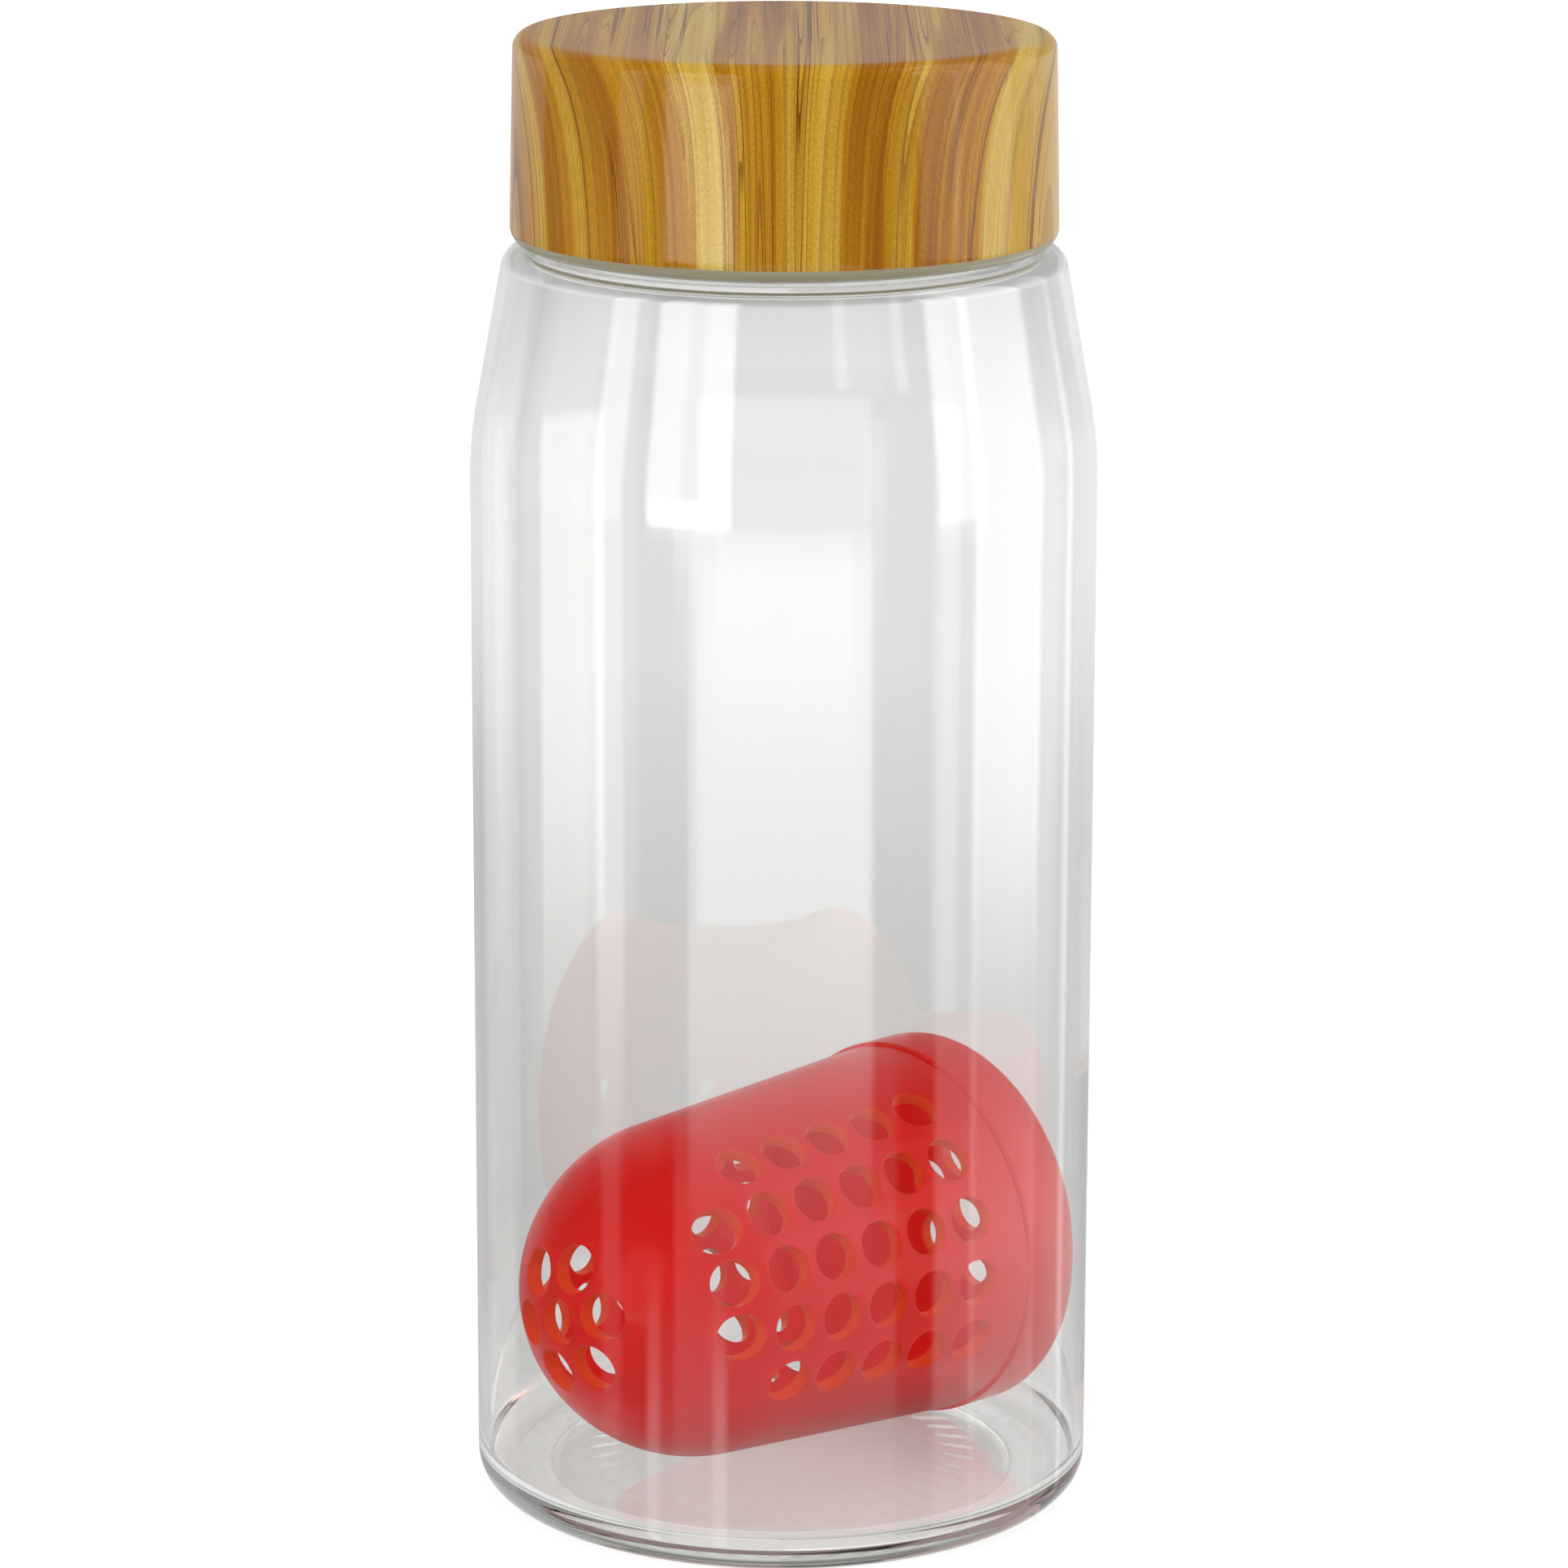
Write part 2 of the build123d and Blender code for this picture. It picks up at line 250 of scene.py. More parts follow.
def wood_film(look):
    """Hydro dipped wood print under clear lacquer on ABS: honey streaks with a wet gloss."""
    material, tree = new_material("wood_print_film_lacquered")
    film = add_node(tree, "Attribute", attribute_name="film").outputs["Vector"]

    def grain(across, along, detail, offset):
        """Noise whose streaks are some millimetres across and some along the grain."""
        stretch = add_node(
            tree,
            "Mapping",
            {
                "Vector": film,
                "Location": (offset, offset * 0.37, 0),
                "Scale": (1 / across, 1 / along, 1),
            },
        )
        return add_node(
            tree,
            "TexNoise",
            {"Vector": stretch, "Scale": 1.0, "Detail": detail},
            noise_dimensions="2D",
        )

    # Bands of 6 mm carry finer streaks of 1.2 mm, as earlywood and latewood do
    bands = grain(6.0, 150.0, 2.0, look.grain_offset)
    streaks = grain(1.2, 120.0, 3.0, 7.3)
    mottle = add_node(tree, "Mix", {0: 0.4, 2: bands, 3: streaks}, data_type="FLOAT")
    # They vary the print's broad bands, whose tones the mesh carries
    band = add_node(tree, "Attribute", attribute_name="band").outputs["Fac"]
    shade = add_node(tree, "Math", {0: mottle, 1: 0.5, 2: band}, operation="MULTIPLY_ADD")
    tone = add_node(tree, "ValToRGB", {"Fac": shade})
    ramp = tone.color_ramp
    stops = [
        (0.38, look.streak_colour),
        (0.46, look.amber_colour),
        (0.53, look.honey_colour),
        (0.62, look.gold_colour),
        (0.74, look.pale_colour),
    ]
    while len(ramp.elements) < len(stops):
        ramp.elements.new(0.5)
    for element, (position, colour) in zip(ramp.elements, stops):
        element.position = position
        element.color = (*colour, 1)

    # Pores lie about 0.4 mm apart in groups 4 mm across, and are drawn 0.2 mm wide, twice
    # their real width, so that they show in a render
    pore_noise = grain(0.42, 130.0, 1.0, 31.7)
    pore_line = add_node(
        tree,
        "MapRange",
        {"Value": pore_noise, 1: 0.37, 2: 0.29},
        interpolation_type="SMOOTHSTEP",
    )
    pore_groups = grain(4.2, 90.0, 2.0, 53.1)
    pore_share = add_node(
        tree, "MapRange", {"Value": pore_groups, 1: 0.42, 2: 0.58, 3: 0.12, 4: 0.95}
    )
    pores = add_node(tree, "Math", {0: pore_line, 1: pore_share}, operation="MULTIPLY")
    # Growth rings follow the bands: broad ones start with a sharp dark edge and fade out, and
    # fine lines of the same growth crowd together where the bands are steep
    growth = grain(6.0, 600.0, 1.0, look.grain_offset)
    drawn = tone
    for count, fade, strength, colour in (
        (look.ring_count, 0.55, 0.5, look.ring_colour),
        (look.line_count, 0.3, pore_share, look.pore_colour),
    ):
        phase = add_node(tree, "Math", {0: growth, 1: count}, operation="MULTIPLY")
        place = add_node(tree, "Math", {0: phase}, operation="FRACT")
        line = add_node(
            tree,
            "MapRange",
            {"Value": place, 2: fade, 3: strength, 4: 0.0},
            interpolation_type="SMOOTHSTEP",
        )
        drawn = add_node(
            tree, "Mix", {0: line, 6: drawn, 7: (*colour, 1)}, data_type="RGBA"
        ).outputs[2]
    lined = add_node(
        tree, "Mix", {0: pores, 6: drawn, 7: (*look.pore_colour, 1)}, data_type="RGBA"
    ).outputs[2]
    # The print's dots are 0.4 mm apart and only just lighter or darker than the ink
    dots = grain(0.4, 0.4, 0.0, 11.0)
    speck = add_node(tree, "MapRange", {"Value": dots, 1: 0.3, 2: 0.7, 3: 0.93, 4: 1.07})
    printed = add_node(
        tree,
        "Mix",
        {0: 1.0, 6: lined, 7: speck},
        data_type="RGBA",
        blend_type="MULTIPLY",
    ).outputs[2]
    # The print stops where the side curves under, and bare olive plastic shows below it
    height = add_node(tree, "SeparateXYZ", {0: film}).outputs["Z"]
    above = add_node(tree, "MapRange", {"Value": height, 1: -0.04, 2: 0.04})
    cover = add_node(
        tree, "Mix", {0: above, 6: (*look.bare_colour, 1), 7: printed}, data_type="RGBA"
    ).outputs[2]
    lacquer = add_node(
        tree,
        "BsdfPrincipled",
        {
            "Base Color": cover,
            "Roughness": 0.35,
            "IOR": 1.5,
            "Specular IOR Level": 0.15,
            "Coat Weight": 0.38,
            "Coat Roughness": 0.04,
            "Coat IOR": 1.5,
        },
    )
    add_node(tree, "OutputMaterial", {"Surface": lacquer})
    return material


def moulded_polypropylene(look):
    """Injection moulded natural polypropylene: waxy, satin and slightly cloudy."""
    material, tree = new_material("natural_polypropylene_moulded")
    place = add_node(tree, "TexCoord").outputs["Object"]
    # Flow marks about 6 mm apart vary the satin a little
    flow = add_node(tree, "TexNoise", {"Vector": place, "Scale": 160.0, "Detail": 2.0})
    satin = add_node(tree, "MapRange", {"Value": flow, 3: 0.3, 4: 0.5})
    wax = add_node(
        tree,
        "BsdfPrincipled",
        {
            "Base Color": (*look.liner_colour, 1),
            "Roughness": satin,
            "IOR": 1.49,
            "Subsurface Weight": 0.25,
            "Subsurface Scale": 0.001,
        },
    )
    add_node(tree, "OutputMaterial", {"Surface": wax})
    return material


def silicone_rubber(look):
    """Compression moulded white silicone: soft, matt and milky at its edges."""
    material, tree = new_material("white_silicone_moulded")
    place = add_node(tree, "TexCoord").outputs["Object"]
    # The tool's blasted finish, drawn at 0.3 mm, keeps highlights broad
    blast = add_node(tree, "TexNoise", {"Vector": place, "Scale": 3300.0, "Detail": 1.0})
    bump = add_node(tree, "Bump", {"Height": blast, "Strength": 0.25, "Distance": 0.00004})
    rubber = add_node(
        tree,
        "BsdfPrincipled",
        {
            "Base Color": (*look.seal_colour, 1),
            "Roughness": 0.6,
            "IOR": 1.41,
            "Subsurface Weight": 0.4,
            "Subsurface Scale": 0.001,
            "Normal": bump,
        },
    )
    add_node(tree, "OutputMaterial", {"Surface": rubber})
    return material


def tinted_copolyester(look):
    """Red tinted copolyester, injection moulded: glossy outside, and hazy deep in its wall."""
    name = "red_tinted_copolyester_moulded"
    if name in bpy.data.materials:
        return bpy.data.materials[name]
    material, tree = new_material(name)
    place = add_node(tree, "TexCoord").outputs["Object"]
    # Slow sink marks about 8 mm across soften the reflections
    sink = add_node(tree, "TexNoise", {"Vector": place, "Scale": 120.0, "Detail": 1.0})
    bump = add_node(tree, "Bump", {"Height": sink, "Strength": 0.12, "Distance": 0.0003})
    # Painted glow: a lighter, less clear orange painted into the bores stands in for piped
    # light
    bore = add_node(tree, "Attribute", attribute_name="bore").outputs["Fac"]
    tint_and_painted_glow = {0: bore, 6: (*look.tint, 1), 7: (*look.bore_glow_paint, 1)}
    colour = add_node(tree, "Mix", tint_and_painted_glow, data_type="RGBA").outputs[2]
    clearness = add_node(
        tree, "MapRange", {"Value": bore, 3: look.clearness, 4: look.clearness * 0.3}
    )
    plastic = add_node(
        tree,
        "BsdfPrincipled",
        {
            "Base Color": colour,
            "Roughness": look.haze,
            "IOR": 1.5,
            "Specular IOR Level": 0.1,
            "Transmission Weight": clearness,
            "Coat Weight": 0.1,
            "Coat Roughness": 0.03,
            "Coat IOR": 1.5,
            "Normal": bump,
        },
    )
    wall = light_goes_through(tree, plastic, look.shadow_tint)
    add_node(tree, "OutputMaterial", {"Surface": wall})
    return material


# Settings


def colour_setting(name, description, code):
    """A colour whose default is a hex code."""
    return FloatVectorProperty(
        name=name, description=description, default=to_linear(code), subtype="COLOR"
    )


class BottleLook(bpy.types.PropertyGroup):
    """Sizes and colours of the clear bottle"""

    thread_height: FloatProperty(
        name="Thread Height",
        description="How far the neck's thread stands out of the neck",
        default=0.001,
        unit="LENGTH",
    )
    thread_lead: FloatProperty(
        name="Thread Lead",
        description="How far the lid rises in one turn",
        default=0.006,
        unit="LENGTH",
    )
    thread_turns: FloatProperty(
        name="Thread Turns",
        description="How many turns the thread runs around the neck",
        default=1.5,
    )
    rib_count: IntProperty(
        name="Base Ribs",
        description="Number of short ribs in the ring under the base",
        default=40,
    )
    ripple: FloatProperty(
        name="Ripple",
        description="Strength of the wall's slow ripples",
        default=0.12,
        subtype="FACTOR",
    )
    wall_colour: colour_setting("Wall Colour", "Tint of the clear wall", "FCFCFB")
    depth_colour: colour_setting(
        "Depth Colour", "Colour that the wall takes where it is seen edge on", "B4B5A6"
    )
    depth_density: FloatProperty(
        name="Depth Density",
        description="How soon that colour builds up, for each metre",
        default=14.0,
    )


class LidLook(bpy.types.PropertyGroup):
    """Sizes and colours of the screw lid"""

    grain_offset: FloatProperty(
        name="Grain Offset",
        description="Where the wood print starts, in print cells",
        default=3.0,
    )
    ring_count: FloatProperty(
        name="Ring Count",
        description="How many growth rings lie between the print's darkest and palest bands",
        default=8.0,
    )
    line_count: FloatProperty(
        name="Line Count",
        description="How many fine dark lines lie between those bands",
        default=37.0,
    )
    ring_colour: colour_setting("Ring Colour", "Dark side of each growth ring", "A0600E")
    streak_colour: colour_setting("Streak Colour", "Darkest orange brown streaks", "9C5C08")
    amber_colour: colour_setting("Amber Colour", "Amber streaks", "BC8014")
    honey_colour: colour_setting("Honey Colour", "Main colour of the print", "CC9A28")
    gold_colour: colour_setting("Gold Colour", "Light golden streaks", "D6AE46")
    pale_colour: colour_setting("Pale Colour", "Palest bands", "E8CA78")
    pore_colour: colour_setting("Pore Colour", "Fine dark lines", "744406")
    bare_colour: colour_setting(
        "Bare Colour", "Cover's own plastic, which shows below the print", "A39C80"
    )
    liner_colour: colour_setting(
        "Liner Colour", "Natural plastic of the threaded liner", "E8E8E2"
    )
    seal_colour: colour_setting("Seal Colour", "White of the gasket", "E6E5DF")


class InfuserLook(bpy.types.PropertyGroup):
    """Sizes and colours of the infuser capsule"""

    edge_round: FloatProperty(
        name="Edge Round",
        description="Radius of the rounded edge around each hole",
        default=0.00025,
        unit="LENGTH",
    )
    tint: colour_setting("Tint", "Red of the plastic", "FF0800")
    # Painted glow: a lighter orange painted into the bores of the holes, for light the wall
    # pipes there
    bore_glow_paint: colour_setting(
        "Edge Tint", "Glowing colour of the plastic in the bores of the holes", "FF4A14"
    )
    shadow_tint: colour_setting(
        "Shadow Tint", "Colour of the light that one wall lets through", "FAF0EF"
    )
    haze: FloatProperty(
        name="Haze",
        description="How much the wall blurs what is behind it",
        default=0.34,
        subtype="FACTOR",
    )
    clearness: FloatProperty(
        name="Clearness",
        description="Share of the light that goes through and not back",
        default=0.62,
        subtype="FACTOR",
    )


class StageLook(bpy.types.PropertyGroup):
    """Floor, background and light"""

    floor_colour: colour_setting("Floor Colour", "Pale floor that takes the shadow", "E2E2E2")
    lamp_power: FloatProperty(
        name="Lamp Power",
        description="Power of each soft box in watts",
        default=4.6,
    )
    sky_level: FloatProperty(
        name="Sky Level",
        description="Even light from all around",
        default=0.33,
    )


# Pieces

# Sizes that pieces share, in mm
LID_TOP, LID_RADIUS, FILM_EDGE = 176.6, 31.6, 153.6
COVER_BORE = 29.449
LINER_BORE = 28.149
NECK_RADIUS, NECK_BORE, NECK_TOP = 26.899, 25.099, 171.2
THREAD_LOW, THREAD_HIGH, THREAD_STEP = 153.2, 169.8, 0.28
CREST_WIDTH = 0.7

# Where each broad band of the print starts across its grain, in mm, and how light it is
PRINT_BANDS = [
    (-40.0, 0.52),
    (-30.5, 0.42),
    (-28.2, 0.48),
    (-22.0, 0.50),
    (-16.9, 0.53),
    (-13.5, 0.66),
    (-8.0, 0.43),
    (-4.2, 0.41),
    (-0.6, 0.54),
    (7.3, 0.44),
    (13.7, 0.55),
    (17.5, 0.40),
    (20.9, 0.46),
    (26.7, 0.64),
    (30.9, 0.56),
]


def band_share(across, along):
    """What the print's bands add to its fine grain here; their edges waver a little."""
    edge, waver, grain_mean = 0.8, 0.5, 0.25
    here = across + waver * sin(along / 14)
    tone = PRINT_BANDS[0][1]
    for start, next_tone in PRINT_BANDS:
        tone += (next_tone - tone) * smooth((here - start) / edge)
    return tone - grain_mean


def film_place(point):
    """Where a point of the cover lies in the flat print, across and along its grain, and how
    high it is above the film's lower edge, in mm. There is no film inside the cover."""
    x, y, z = (value / MM for value in point)
    turn = atan2(x, -y)
    radius = hypot(x, y)
    depth = max(0.0, LID_TOP - z)
    # The film stretched as it wrapped the side, so its lines lean out towards the top
    lean, squeeze, reach = 0.39, 0.04, 8
    turn += (lean * sin(turn) - squeeze * sin(2 * turn)) * (1 - exp(-depth / reach))
    across = radius * sin(turn)
    along = radius * cos(turn) * (1 + depth / LID_RADIUS)
    inside = radius < COVER_BORE + 0.15 and z < 175
    return across, along, -1.0 if inside else z - FILM_EDGE


class BOTTLE_OT_add_body(bpy.types.Operator):
    """Adds the clear bottle with its threaded neck"""

    bl_idname = "bottle.add_body"
    bl_label = "Bottle Body"

    def execute(self, context):
        look = context.scene.bottle_look
        push_radius, dome_centre, floor_radius = 131.216, -128.216, 133.616
        outline = arc((0, dome_centre), push_radius, 90, 77.82, 30)
        outline += arc((28.11, 2.0), 2.0, 257.82, 270, 3)
        outline += rounded(
            [
                (28.3, 0, 0),
                (37.0, 0, 4.2),
                (37.0, 128.7, 45.0),
                (32.841, 151.6, 2.5),
                (NECK_RADIUS, 151.6, 0.8),
                (NECK_RADIUS, 153.0, 0),
            ],
            turn=4.0,
        )
        thread = [(NECK_RADIUS, THREAD_LOW), (NECK_RADIUS, THREAD_HIGH)]
        outline += divided(thread, THREAD_STEP)
        outline += rounded(
            [
                (NECK_RADIUS, 170.0, 0),
                (NECK_RADIUS, NECK_TOP, 0.6),
                (NECK_BORE, NECK_TOP, 0.5),
                (NECK_BORE, 150.6, 0.8),
                (31.841, 150.6, 1.5),
                (36.0, 128.7, 44.0),
                (36.0, 2.455, 4.0),
                (29.2, 2.455, 0),
            ],
            turn=4.0,
        )
        outline += arc((28.93, 12.455), 10.0, 270, 258.38, 4)
        outline += arc((0, dome_centre), floor_radius, 78.38, 90, 30)[1:]
        outline = divided(outline, 6.0)
        height, lead = look.thread_height / MM, look.thread_lead / MM
        rib_height, rib_start, rib_end, rib_fade = 0.04, 19.0, 24.0, 0.8

        def shift(radius, up, turn):
            """The neck's thread, and the ring of moulded ribs under the base."""
            if abs(radius - NECK_RADIUS) < 0.1 and 153.0 < up < 170.0:
                turns = look.thread_turns
                share = thread_ridge(turn, up, 156.0, lead, turns, CREST_WIDTH, 0.75)
                return height * share, 0
            if up < 2.5 and rib_start < radius < rib_end:
                beside = abs((turn * look.rib_count / FULL_TURN) % 1 - 0.5)
                ends = min(radius - rib_start, rib_end - radius) / rib_fade
                return 0, -rib_height * smooth(ends) * smooth((0.34 - beside) / 0.16)
            return 0, 0

        mesh = lathe(outline, 240, shift=shift)
        material = clear_copolyester(look)
        add_piece("bottle_shell", mesh, material, "bottle", "bottle_body")
        return {"FINISHED"}


class BOTTLE_OT_add_cover(bpy.types.Operator):
    """Adds the lid's cover with its printed wood film"""

    bl_idname = "bottle.add_cover"
    bl_label = "Lid Cover"

    def execute(self, context):
        look = context.scene.lid_look
        outline = rounded(
            [
                (0, LID_TOP, 0),
                (31.599, LID_TOP, 1.8),
                (32.159, 152.1, 2.0),
                (COVER_BORE, 152.1, 0.2),
                (COVER_BORE, 174.6, 1.0),
                (0, 174.6, 0),
            ]
        )
        mesh = lathe(divided(outline, 0.8), 360)
        cover = add_piece(
            "cover_shell", mesh, wood_film(look), "lid", "lid_cover"
        )
        film = cover.data.attributes.new("film", "FLOAT_VECTOR", "POINT")
        places = [value for point in cover.data.vertices for value in film_place(point.co)]
        film.data.foreach_set("vector", places)
        band = cover.data.attributes.new("band", "FLOAT", "POINT")
        shares = [band_share(*places[k : k + 2]) for k in range(0, len(places), 3)]
        band.data.foreach_set("value", shares)
        return {"FINISHED"}


class BOTTLE_OT_add_liner(bpy.types.Operator):
    """Adds the threaded liner inside the cover"""

    bl_idname = "bottle.add_liner"
    bl_label = "Lid Liner"

    def execute(self, context):
        scene = context.scene
        outline = rounded(
            [
                (0, 174.5, 0),
                (29.349, 174.5, 1.1),
                (29.349, 152.4, 0.4),
                (LINER_BORE, 152.4, 0.3),
                (LINER_BORE, 153.0, 0),
            ]
        )
        thread = [(LINER_BORE, THREAD_LOW), (LINER_BORE, 170.0)]
        outline += divided(thread, THREAD_STEP)
        outline += rounded([(LINER_BORE, 170.2, 0), (LINER_BORE, 172.9, 0.3), (0, 172.9, 0)])
        lead = scene.bottle_look.thread_lead / MM
        turns = scene.bottle_look.thread_turns
        height = 0.9

        def shift(radius, up, turn):
            """The liner's thread, which lies under the neck's thread."""
            if abs(radius - LINER_BORE) < 0.05 and 153.0 < up < 170.2:
                share = thread_ridge(turn, up, 153.85, lead, turns, CREST_WIDTH, 0.7)
                return -height * share, 0
            return 0, 0

        mesh = lathe(divided(outline, 4.0), 240, shift=shift)
        material = moulded_polypropylene(scene.lid_look)
        add_piece("liner_shell", mesh, material, "lid", "lid_liner")
        return {"FINISHED"}


class BOTTLE_OT_add_seal(bpy.types.Operator):
    """Adds the flat gasket under the lid"""

    bl_idname = "bottle.add_seal"
    bl_label = "Lid Seal"

    def execute(self, context):
        outline = rounded(
            [
                (25.0, 171.3, 0),
                (27.899, 171.3, 0.35),
                (27.899, 172.8, 0.35),
                (23.599, 172.8, 0.35),
                (23.599, 171.3, 0.35),
                (25.0, 171.3, 0),
            ]
        )[:-1]
        mesh = lathe(outline, 180, closed=True)
        material = silicone_rubber(context.scene.lid_look)
        add_piece("seal_ring", mesh, material, "seal", "lid_seal")
        return {"FINISHED"}


# The capsule lies along its own axis, with angles from its side towards the top
NOSE_CENTRE = Vector((-10.7885, -10.7465, 27.4443))
ALONG = Vector((0.748953, 0.662618, 0.002772)).normalized()
SIDE = Vector((0.66262, -0.748956, 0.0)).normalized()
RAISED = SIDE.cross(ALONG)
HOLE_RADIUS = 2.7
# The side is cut into cells, one for each hole or the place of one, and so is each end's ring
SECTOR = radians(20)
SPOKES_IN_SECTOR = 8
CAPSULE_SPOKES = 18 * SPOKES_IN_SECTOR
FIRST_SECTOR = radians(10.5)
END_LOW, END_HIGH, END_RING = 3.45, 10.3, 6.793
# Radii of the nose, the spigot that goes into the cap, and the cap, and the basket's flare
NOSE, NOSE_INNER, SPIGOT = 20.399, 18.599, 21.249
CAP_RADIUS, CAP_BORE = 23.199, 21.499
FLARE = radians(3.956)
LUG_HEIGHT = 0.6


def around(angle):
    """Unit direction away from the capsule's axis."""
    return SIDE * cos(angle) + RAISED * sin(angle)


def on_capsule(radius, along, angle):
    """A point of the capsule, in metres."""
    return (NOSE_CENTRE + ALONG * along + around(FIRST_SECTOR + angle) * radius) * MM


def flared(nose):
    """Radius of the basket's wall at a distance along, outside or inside, from its nose."""

    def radius(along):
        if along < -nose * sin(FLARE):
            return sqrt(max(0.0, nose**2 - along**2))
        return nose / cos(FLARE) + along * tan(FLARE)

    return radius


def square_rim(wide, tall):
    """Points around a square from -1 to 1, so many to a side, from its lower left corner."""
    half = [(-1 + 2 * k / wide, -1) for k in range(wide)]
    half += [(1, -1 + 2 * k / tall) for k in range(tall)]
    return half + [(-x, -y) for x, y in half]


def pierced_cell(mesh, outer_rim, inner_rim, outer, inner, edge):
    """A patch of wall with one hole: rings run from its outer rim, through the hole, to its
    inner rim. The rims are flat (x, y) points about the hole, and outer and inner place a flat
    point at a depth on each face of the wall."""
    rings = []
    bore = mesh.verts.layers.float["bore"]
    angles = [atan2(y, x) for x, y in outer_rim]
    circle = [(cos(a), sin(a)) for a in angles]
    reach = HOLE_RADIUS + edge
    ring_shares = (0, 0.3, 0.55, 0.78, 1.0)
    bends = 4
    for rim, face in ((outer_rim, outer), (inner_rim, inner)):
        side = []
        for share in ring_shares:
            flat = [
                (px + (cx * reach - px) * share, py + (cy * reach - py) * share)
                for (px, py), (cx, cy) in zip(rim, circle)
            ]
            side.append([mesh.verts.new(face(x, y, 0.0)) for x, y in flat])
        for step in range(1, bends + 1):
            bend = radians(90 * step / bends)
            near = HOLE_RADIUS + edge * (1 - sin(bend))
            depth = edge * (1 - cos(bend))
            side.append([mesh.verts.new(face(x * near, y * near, depth)) for x, y in circle])
            # How far into the bore each ring lies; the capsule's material paints its glow
            # there
            for vertex in side[-1]:
                vertex[bore] = step / bends
        rings.append(side)
    join_rings(mesh, rings[0] + rings[1][::-1])


def side_cell(mesh, angle, along, pitch, edge, outer_radius, inner_radius):
    """A cell of the basket's side with its hole, whose rim meets the plain cells around it."""

    def rim(radius):
        points = []
        for u, v in square_rim(SPOKES_IN_SECTOR, SPOKES_IN_SECTOR):
            x = u * pitch / 2
            points.append((x, radius(along + x) * sin(v * SECTOR / 2)))
        return points

    out = around(FIRST_SECTOR + angle)
    across = -SIDE * sin(FIRST_SECTOR + angle) + RAISED * cos(FIRST_SECTOR + angle)

    def face(radius, sign):
        def place(x, y, depth):
            up = sqrt(radius(along + x) ** 2 - y**2) - sign * depth
            return (NOSE_CENTRE + ALONG * (along + x) + out * up + across * y) * MM

        return place

    pierced_cell(
        mesh,
        rim(outer_radius),
        rim(inner_radius),
        face(outer_radius, 1),
        face(inner_radius, -1),
        edge,
    )


def plain_cell(mesh, angle, along, pitch, radius):
    """A cell of one face of the basket's side with no hole."""
    steps = SPOKES_IN_SECTOR
    rings = []
    for i in range(steps + 1):
        here = along - pitch / 2 + pitch * i / steps
        turns = [angle - SECTOR / 2 + SECTOR * k / steps for k in range(steps + 1)]
        rings.append([mesh.verts.new(on_capsule(radius(here), here, t)) for t in turns])
    for low, high in zip(rings, rings[1:]):
        for k in range(steps):
            mesh.faces.new((low[k], low[k + 1], high[k + 1], high[k]))


def pierced_end(mesh, outer, inner, turn, edge):
    """The capsule's end: a middle hole and a ring of six, in cells a sixth of a turn wide.
    outer and inner give the distance along at a distance from the axis, and turn is the first
    hole's angle."""
    sign = 1 if outer(0) > 0 else -1

    def place(along, centre, direction):
        def at(x, y, depth):
            px, py = centre[0] + x, centre[1] + y
            deep = along(hypot(px, py)) - direction * sign * depth
            return (NOSE_CENTRE + ALONG * deep + SIDE * px + RAISED * py) * MM

        return at

    rim = [FULL_TURN * k / CAPSULE_SPOKES for k in range(CAPSULE_SPOKES)]
    ring = [(END_LOW * cos(a + turn), END_LOW * sin(a + turn)) for a in rim]
    middle = (0.0, 0.0)
    pierced_cell(mesh, ring, ring, place(outer, middle, 1), place(inner, middle, -1), edge)
    for hole in range(6):
        angle = turn + hole * pi / 3
        centre = (END_RING * cos(angle), END_RING * sin(angle))
        flat = []
        for u, v in square_rim(CAPSULE_SPOKES // 6, 8):
            radius = END_LOW + (END_HIGH - END_LOW) * (v + 1) / 2
            at = angle + u * pi / 6
            flat.append((radius * cos(at) - centre[0], radius * sin(at) - centre[1]))
        pierced_cell(mesh, flat, flat, place(outer, centre, 1), place(inner, centre, -1), edge)


def collar(mesh, outline, turn, spokes_turn, shift=None):
    """Rings of the capsule through (along, radius) points; the first ring's spokes may lie
    between those of the rest, to meet the cells of a pierced end."""
    rings = []
    lag = remainder(turn - spokes_turn, FULL_TURN / CAPSULE_SPOKES)
    for place, (along, radius) in enumerate(outline):
        start = spokes_turn + (lag if place == 0 else 0.0)
        ring = []
        for k in range(CAPSULE_SPOKES):
            angle = start + FULL_TURN * k / CAPSULE_SPOKES
            out = shift(along, radius, angle) if shift else 0
            here = NOSE_CENTRE + ALONG * along + around(angle) * (radius + out)
            ring.append(mesh.verts.new(here * MM))
        rings.append(ring)
    join_rings(mesh, rings)


def lug_share(along, angle, first, last, turn, sweep):
    """How much of a lug or groove is here, between two distances along and in three sweeps."""
    apart, end_fade, side_fade = 120, 0.5, 2.5
    beside = (degrees(angle) - turn) % apart
    beside = min(beside, apart - beside) if beside > sweep else 0.0
    inside = smooth((end_fade - max(first - along, along - last)) / end_fade)
    return inside * smooth(1 - beside / side_fade)


def new_capsule_mesh():
    """An empty mesh that can mark its vertices as lying in a bore."""
    mesh = bmesh.new()
    mesh.verts.layers.float.new("bore")
    return mesh


